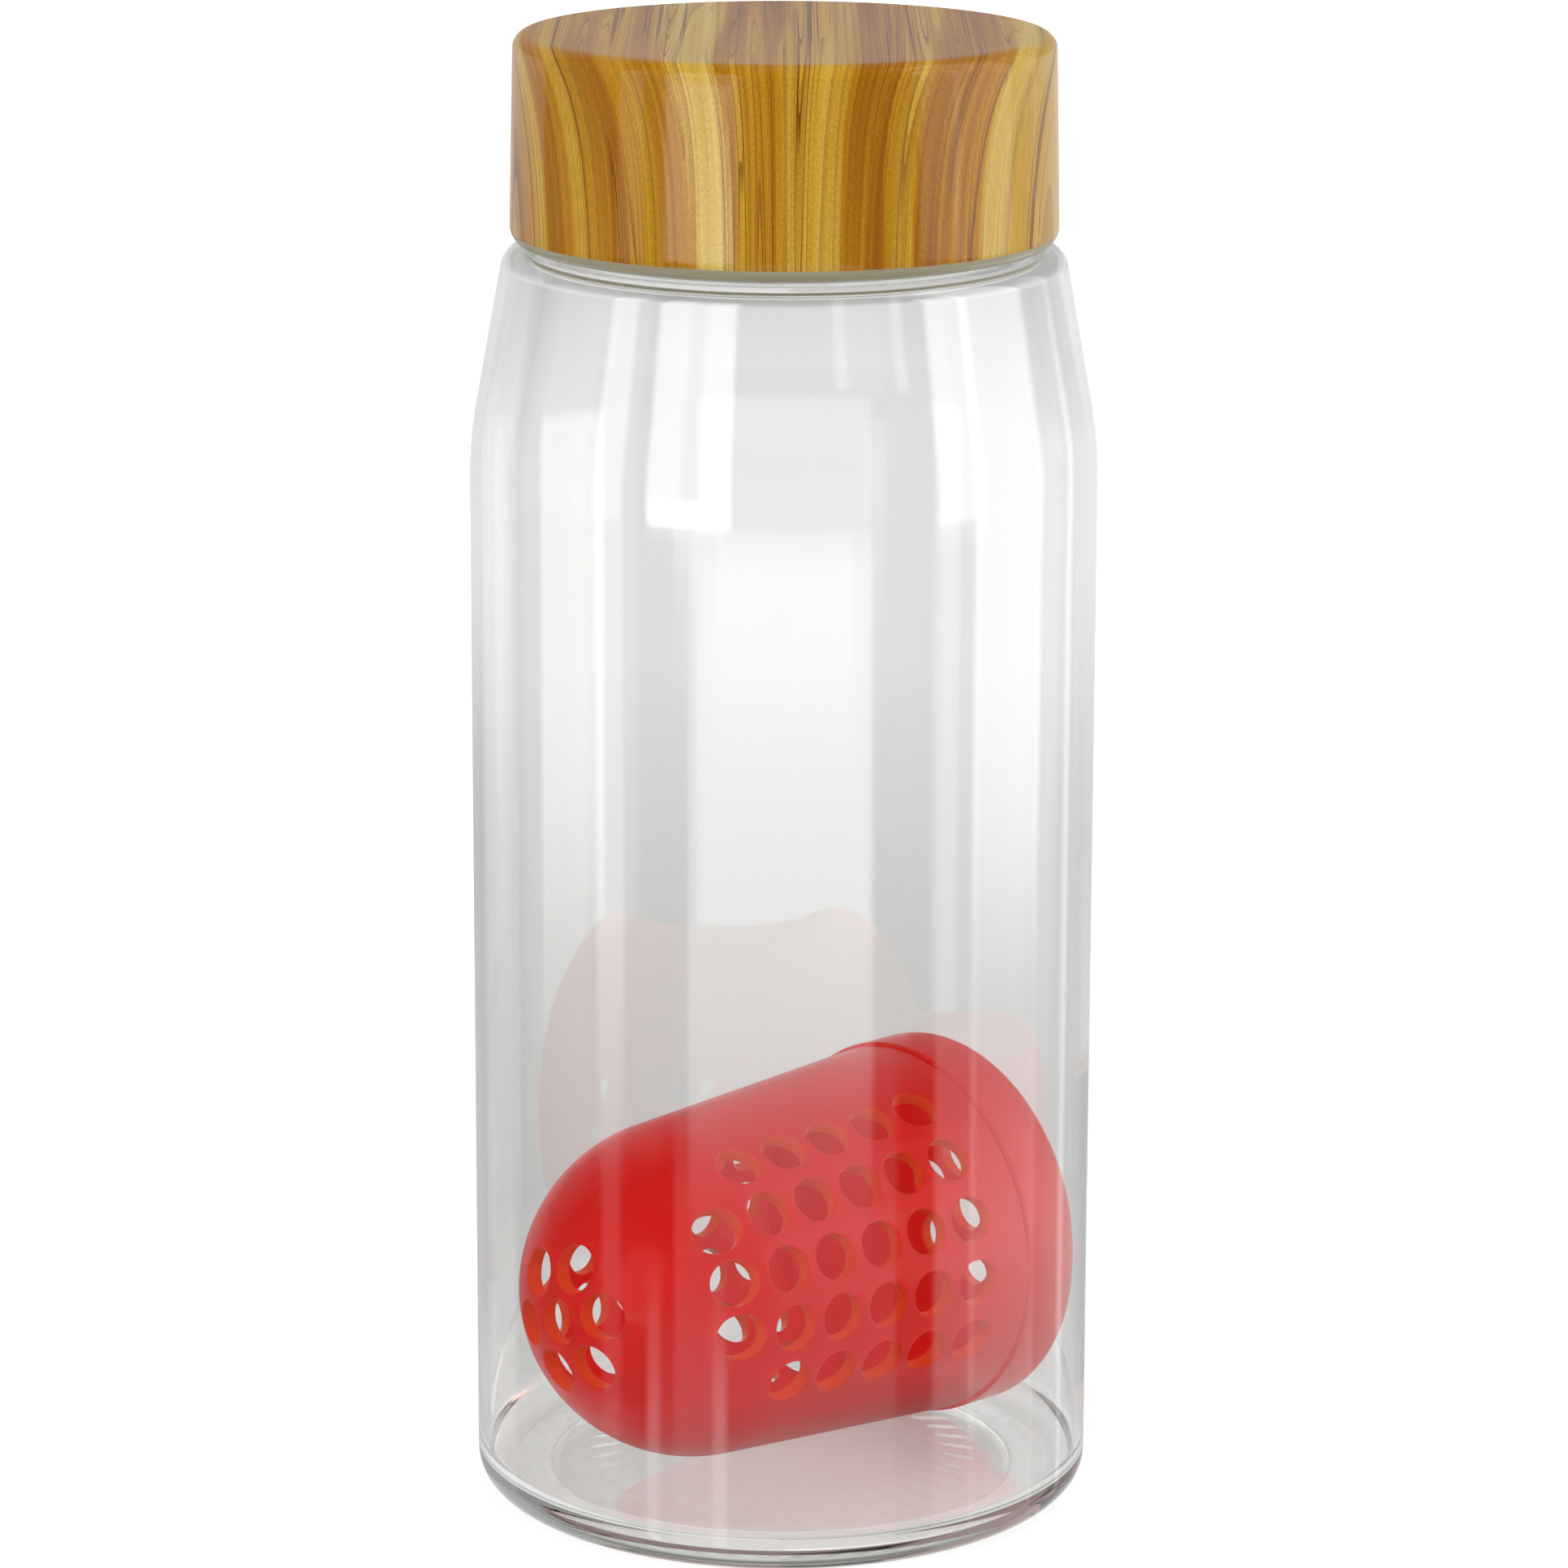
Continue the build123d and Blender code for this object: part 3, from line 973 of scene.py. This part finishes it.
class BOTTLE_OT_add_basket(bpy.types.Operator):
    """Adds the perforated basket of the infuser capsule"""

    bl_idname = "bottle.add_basket"
    bl_label = "Infuser Basket"

    def execute(self, context):
        look = context.scene.infuser_look
        edge = look.edge_round / MM
        outer, inner = flared(NOSE), flared(NOSE_INNER)
        seam, spigot_end, spigot_bore = 33.996, 39.996, 19.749
        first, pitch = 34.0 - 7.82, 6.85
        counts = [5, 6, 6, 6, 5]
        mesh = new_capsule_mesh()
        for sector in range(18):
            angle = sector * SECTOR + SECTOR / 2
            # Sectors 0 to 2 and 16, 17 face the side, and those half a turn on face away
            row = (sector + 2) % 9
            holes = counts[row] if row < len(counts) else 0
            for column in range(6):
                along = first - column * pitch
                if column < holes:
                    side_cell(mesh, angle, along, pitch, edge, outer, inner)
                else:
                    plain_cell(mesh, angle, along, pitch, outer)
                    plain_cell(mesh, angle, along, pitch, inner)
        turn = radians(17)
        join = turn - pi / 6
        pierced_end(
            mesh,
            lambda r: -sqrt(NOSE**2 - r**2),
            lambda r: -sqrt(NOSE_INNER**2 - r**2),
            turn,
            edge,
        )
        near = first + pitch / 2
        far = first - 5.5 * pitch
        for radius in (NOSE, NOSE_INNER):
            low, high = asin(END_HIGH / radius), pi / 2 + asin(far / radius)
            bends = [low + (high - low) * k / 8 for k in range(9)]
            outline = [(-radius * cos(b), radius * sin(b)) for b in bends]
            collar(mesh, outline, join, FIRST_SECTOR)
        mouth = rounded(
            [
                (near, outer(near), 0),
                (seam, 22.8, 0.25),
                (seam, SPIGOT, 0.2),
                (spigot_end, SPIGOT, 0.4),
                (spigot_end, spigot_bore, 0.4),
                (32.196, spigot_bore, 0.6),
                (30.396, inner(30.396), 0.6),
                (near, inner(near), 0),
            ],
            turn=15.0,
        )

        def lugs(along, radius, angle):
            """Three lugs of the bayonet on the spigot."""
            if abs(radius - SPIGOT) > 0.05:
                return 0
            return LUG_HEIGHT * lug_share(along, -angle, 36.6, 37.7, -90, 14)

        mouth = divided(mouth, 0.6)
        collar(mesh, mouth, FIRST_SECTOR, FIRST_SECTOR, lugs)
        material = tinted_copolyester(look)
        add_piece(
            "basket_shell", mesh, material, "infuser", "infuser_basket"
        )
        return {"FINISHED"}


class BOTTLE_OT_add_cap(bpy.types.Operator):
    """Adds the domed cap of the infuser capsule"""

    bl_idname = "bottle.add_cap"
    bl_label = "Infuser Cap"

    def execute(self, context):
        look = context.scene.infuser_look
        edge = look.edge_round / MM
        rim, skirt = 34.146, 40.746
        outer_dome, inner_dome = 6.3, 4.6
        mesh = new_capsule_mesh()
        turn = radians(-17)
        join = turn - pi / 6
        pierced_end(
            mesh,
            lambda r: skirt + outer_dome * sqrt(1 - (r / CAP_RADIUS) ** 2),
            lambda r: skirt + inner_dome * sqrt(1 - (r / CAP_BORE) ** 2),
            turn,
            edge,
        )

        def dome(radius, height):
            start = asin(END_HIGH / radius)
            bends = [start + (pi / 2 - start) * k / 14 for k in range(15)]
            return [(skirt + height * cos(b), radius * sin(b)) for b in bends]

        outside = dome(CAP_RADIUS, outer_dome)[:-1]
        inside = dome(CAP_BORE, inner_dome)[:-1]
        wall = rounded(
            [
                (skirt, CAP_RADIUS, 0),
                (rim, CAP_RADIUS, 0.3),
                (rim, CAP_BORE, 0.2),
                (skirt, CAP_BORE, 0),
            ],
            turn=15.0,
        )

        def grooves(along, radius, angle):
            """The bayonet's grooves in the cap's inner wall, each with its way in."""
            # Only the bore and the first points of its round rim move
            if abs(radius - CAP_BORE) > 0.101 or along > skirt - 0.5:
                return 0
            run = lug_share(along, -angle, 36.3, 38.0, -121, 46)
            way_in = lug_share(along, -angle, rim - 1, 36.5, -121, 16)
            return LUG_HEIGHT * max(run, way_in)

        collar(mesh, outside + divided(wall, 0.6), join, FIRST_SECTOR, grooves)
        collar(mesh, inside + [(skirt, CAP_BORE)], join, FIRST_SECTOR)
        material = tinted_copolyester(look)
        add_piece(
            "cap_shell", mesh, material, "infuser_cap", "infuser_cap"
        )
        return {"FINISHED"}


# Stage

# Soft boxes that the glossy wall mirrors: azimuth from the front towards +X and its half
# width, elevation and its half height, all in degrees, and level. They add up, and one with a
# negative level thins out another.
PANELS = [
    (-67, 6, 7, 23.5, 1.4),
    (-67, 6, 22, 31, 0.7),
    (-67, 4, -40, 23.5, 0.35),
    (-94, 17, -13.2, 3.3, 0.25),
    (-94, 17, 20, 30, 0.35),
    (-35, 16, 14.7, 23.9, 3.2),
    (-34.5, 3.5, 14, 22, -0.9),
    (-36, 14, -6.4, 3, 3.2),
    (-36, 4.5, -10.5, 1.6, 1.2),
    (-36, 15, -25, 5.5, 0.4),
    (-49, 2.6, -25, 5.5, 1.5),
    (-23.2, 2.6, -25, 5.5, 1.5),
    (1.5, 42, -39.3, 22.5, 0.4),
    (-0.5, 34, -13.8, 3.3, 1.15),
    (-0.5, 35, -15, 2, 0.45),
    (-3, 29, -11.2, 1.9, 0.65),
    (68, 9, 0, 60, 0.8),
    (68, 10, 12, 21.8, 2.2),
    (92, 17, 0, 60, 1.1),
    (92, 17, 22, 37, 1.8),
    (120, 12, 0, 60, 0.8),
    (180, 52, -30, 31, 0.8),
    (-180, 60, -30, 31, 0.55),
    (180, 60, -5, 8, 0.3),
    (-180, 60, -5, 8, 0.4),
    (180, 52, 45, 44, 0.46),
    (-180, 60, 45, 44, 0.46),
    (0, 190, -58, 33, 0.45),
]
# What the wall mirrors where there is no soft box, and how far one's edge fades, in degrees
DIM_LEVEL = 0.05
PANEL_FADE = 3


class BOTTLE_OT_add_stage(bpy.types.Operator):
    """Adds the floor, the white background, the soft boxes and the camera"""

    bl_idname = "bottle.add_stage"
    bl_label = "Stage"

    def execute(self, context):
        look = context.scene.stage_look
        self.add_floor(look)
        self.add_sky(look)
        self.add_lamps(look)
        self.add_camera(context)
        return {"FINISHED"}

    def add_floor(self, look):
        """A pale floor that stays white for the eye and through the clear wall."""
        mesh = bmesh.new()
        bmesh.ops.create_circle(mesh, cap_ends=True, segments=96, radius=4.0)
        data = bpy.data.meshes.new("floor")
        mesh.to_mesh(data)
        mesh.free()
        floor = bpy.data.objects.new("floor", data)
        bpy.context.scene.collection.objects.link(floor)
        floor.visible_glossy = False
        material, tree = new_material("floor_paper")
        data.materials.append(material)
        paper = add_node(tree, "BsdfDiffuse", {"Color": (*look.floor_colour, 1)})
        path = add_node(tree, "LightPath")
        place = add_node(tree, "TexCoord").outputs["Object"]
        apart = add_node(tree, "VectorMath", {0: place}, operation="LENGTH").outputs["Value"]
        # To the eye it glows more with distance, away from the shadow. Through the wall a
        # painted glow lightens the paper under the object, where its shadow lies, and it glows
        # again far out. The spans are in metres.
        level = 0.0
        for ray, start, end, low, high in (
            ("Is Camera Ray", 0.05, 0.8, 0.5, 1.0),
            ("Is Transmission Ray", 0.12, 0.0, 0.0, 0.35),
            ("Is Transmission Ray", 0.12, 0.45, 0.0, 0.28),
        ):
            far = add_node(
                tree, "MapRange", {"Value": apart, 1: start, 2: end, 3: low, 4: high}
            )
            level = add_node(
                tree,
                "Math",
                {0: path.outputs[ray], 1: far, 2: level},
                operation="MULTIPLY_ADD",
            )
        # What was mirrored on its way here sees only the lit paper, and that near the object
        mirrorings = path.outputs["Glossy Depth"]
        straight = add_node(tree, "Math", {0: mirrorings, 1: 0.5}, operation="LESS_THAN")
        # A painted glow on the ring of paper that the bottle stands on, for light its foot
        # mirrors down
        ring_radius, ring_half, ring_glow = 0.036, 0.008, 0.16
        foot = add_node(
            tree, "Math", {0: apart, 1: ring_radius, 2: ring_half}, operation="COMPARE"
        )
        painted_foot_glow = add_node(tree, "Math", {0: foot, 1: ring_glow}, operation="MULTIPLY")
        level = add_node(tree, "Mix", {0: straight, 2: painted_foot_glow, 3: level}, data_type="FLOAT")
        glow = add_node(tree, "Emission", {"Strength": level})
        both = add_node(tree, "AddShader", {0: paper, 1: glow})
        near = add_node(tree, "MapRange", {"Value": apart, 1: 0.09, 2: 0.06})
        seen = add_node(tree, "Math", {0: straight, 1: near}, operation="MAXIMUM")
        clear = add_node(tree, "BsdfTransparent")
        mix = add_node(tree, "MixShader", {0: seen, 1: clear, 2: both})
        add_node(tree, "OutputMaterial", {"Surface": mix})

    def add_sky(self, look):
        """Even light, white for the eye and through the wall, with panels to mirror."""
        world = bpy.data.worlds.new("studio")
        bpy.context.scene.world = world
        world.use_nodes = True
        tree = world.node_tree
        tree.nodes.clear()
        place = add_node(tree, "TexCoord").outputs["Generated"]
        axes = add_node(tree, "SeparateXYZ", {0: place}).outputs
        back = add_node(tree, "Math", {0: axes["Y"], 1: -1.0}, operation="MULTIPLY")
        azimuth = add_node(tree, "Math", {0: axes["X"], 1: back}, operation="ARCTAN2")
        elevation = add_node(tree, "Math", {0: axes["Z"]}, operation="ARCSINE")

        def within(angle, middle, half):
            """1 inside a span of angles, fading out at both ends."""
            apart = add_node(
                tree, "Math", {0: angle, 1: radians(middle)}, operation="SUBTRACT"
            )
            size = add_node(tree, "Math", {0: apart}, operation="ABSOLUTE")
            zero, full = radians(half + PANEL_FADE / 2), radians(half - PANEL_FADE / 2)
            return add_node(
                tree,
                "MapRange",
                {"Value": size, 1: zero, 2: full},
                interpolation_type="SMOOTHSTEP",
            )

        mirrored = DIM_LEVEL
        for middle, half, up, tall, level in PANELS:
            spans = {0: within(azimuth, middle, half), 1: within(elevation, up, tall)}
            inside = add_node(tree, "Math", spans, operation="MULTIPLY")
            mirrored = add_node(
                tree, "Math", {0: inside, 1: level, 2: mirrored}, operation="MULTIPLY_ADD"
            )

        path = add_node(tree, "LightPath")
        eye, through = path.outputs["Is Camera Ray"], path.outputs["Is Transmission Ray"]
        seen = add_node(tree, "Math", {0: eye, 1: through}, operation="MAXIMUM")
        mirrorings = path.outputs["Glossy Depth"]
        mirror = add_node(tree, "Math", {0: mirrorings, 1: 0.5}, operation="GREATER_THAN")
        level = look.sky_level
        for ray, strength in ((seen, 1.0), (mirror, mirrored)):
            level = add_node(
                tree, "Mix", {0: ray, 2: level, 3: strength}, data_type="FLOAT"
            )
        sky = add_node(tree, "Background", {"Strength": level})
        add_node(tree, "OutputWorld", {"Surface": sky})

    def add_lamps(self, look):
        """Low soft boxes at both sides and behind, and one above: angle from the front towards
        +X, distance from the axis, height, width and length in metres, share of the power."""
        for name, azimuth, reach, height, width, tall, share in (
            ("left_box", -50, 0.9, 0.42, 0.5, 0.5, 0.75),
            ("right_box", 60, 0.9, 0.42, 0.6, 0.5, 0.75),
            ("back_box", 180, 0.9, 0.6, 0.8, 0.4, 0.6),
            ("top_box", 5, 0.25, 1.3, 0.7, 0.7, 1.0),
        ):
            lamp = bpy.data.lights.new(name, "AREA")
            lamp.shape = "RECTANGLE"
            lamp.size, lamp.size_y = width, tall
            lamp.energy = look.lamp_power * share
            box = bpy.data.objects.new(name, lamp)
            turn = radians(azimuth)
            box.location = Vector((sin(turn) * reach, -cos(turn) * reach, height))
            aim = Vector((0, 0, 0.1)) - box.location
            box.rotation_euler = aim.to_track_quat("-Z", "Y").to_euler()
            box.visible_glossy = False
            box.visible_camera = False
            box.visible_transmission = False
            bpy.context.scene.collection.objects.link(box)

    def add_camera(self, context):
        """The photo's view: a long lens that looks down by nearly 14 degrees."""
        photo_side, focal, middle = 1932, 7656.494, 964.69
        pitch, roll = 0.242787, 0.002728
        lens = bpy.data.cameras.new("camera")
        lens.sensor_width = 36.0
        lens.sensor_fit = "HORIZONTAL"
        lens.lens = focal / photo_side * lens.sensor_width
        lens.shift_x = (photo_side / 2 - middle) / photo_side
        lens.clip_start, lens.clip_end = 0.05, 50.0
        camera = bpy.data.objects.new("camera", lens)
        place = Matrix.Translation((0, -0.720177, 0.265065))
        tip = Matrix.Rotation(pi / 2 - pitch, 4, "X")
        camera.matrix_world = place @ tip @ Matrix.Rotation(roll, 4, "Z")
        bpy.context.scene.collection.objects.link(camera)
        context.scene.camera = camera
        context.scene.view_settings.view_transform = "Standard"


class BOTTLE_PT_panel(bpy.types.Panel):
    """Lists the bottle's pieces in the sidebar"""

    bl_idname = "BOTTLE_PT_panel"
    bl_label = "Infuser Bottle"
    bl_space_type = "VIEW_3D"
    bl_region_type = "UI"
    bl_category = "Bottle"

    def draw(self, context):
        for operator in OPERATORS:
            self.layout.operator(operator.bl_idname)
        for settings in SETTINGS:
            box = self.layout.box()
            for name in SETTINGS[settings].__annotations__:
                box.prop(getattr(context.scene, settings), name)


SETTINGS = {
    "bottle_look": BottleLook,
    "lid_look": LidLook,
    "infuser_look": InfuserLook,
    "stage_look": StageLook,
}
OPERATORS = [
    BOTTLE_OT_add_body,
    BOTTLE_OT_add_cover,
    BOTTLE_OT_add_liner,
    BOTTLE_OT_add_seal,
    BOTTLE_OT_add_basket,
    BOTTLE_OT_add_cap,
    BOTTLE_OT_add_stage,
]
CLASSES = [*SETTINGS.values(), *OPERATORS, BOTTLE_PT_panel]


def register():
    for kind in CLASSES:
        bpy.utils.register_class(kind)
    for name, kind in SETTINGS.items():
        setattr(bpy.types.Scene, name, PointerProperty(type=kind))


def unregister():
    for name in SETTINGS:
        delattr(bpy.types.Scene, name)
    for kind in reversed(CLASSES):
        bpy.utils.unregister_class(kind)


def main():
    register()
    bpy.ops.bottle.add_body()
    bpy.ops.bottle.add_cover()
    bpy.ops.bottle.add_liner()
    bpy.ops.bottle.add_seal()
    bpy.ops.bottle.add_basket()
    bpy.ops.bottle.add_cap()
    bpy.ops.bottle.add_stage()


if __name__ == "__main__":
    main()
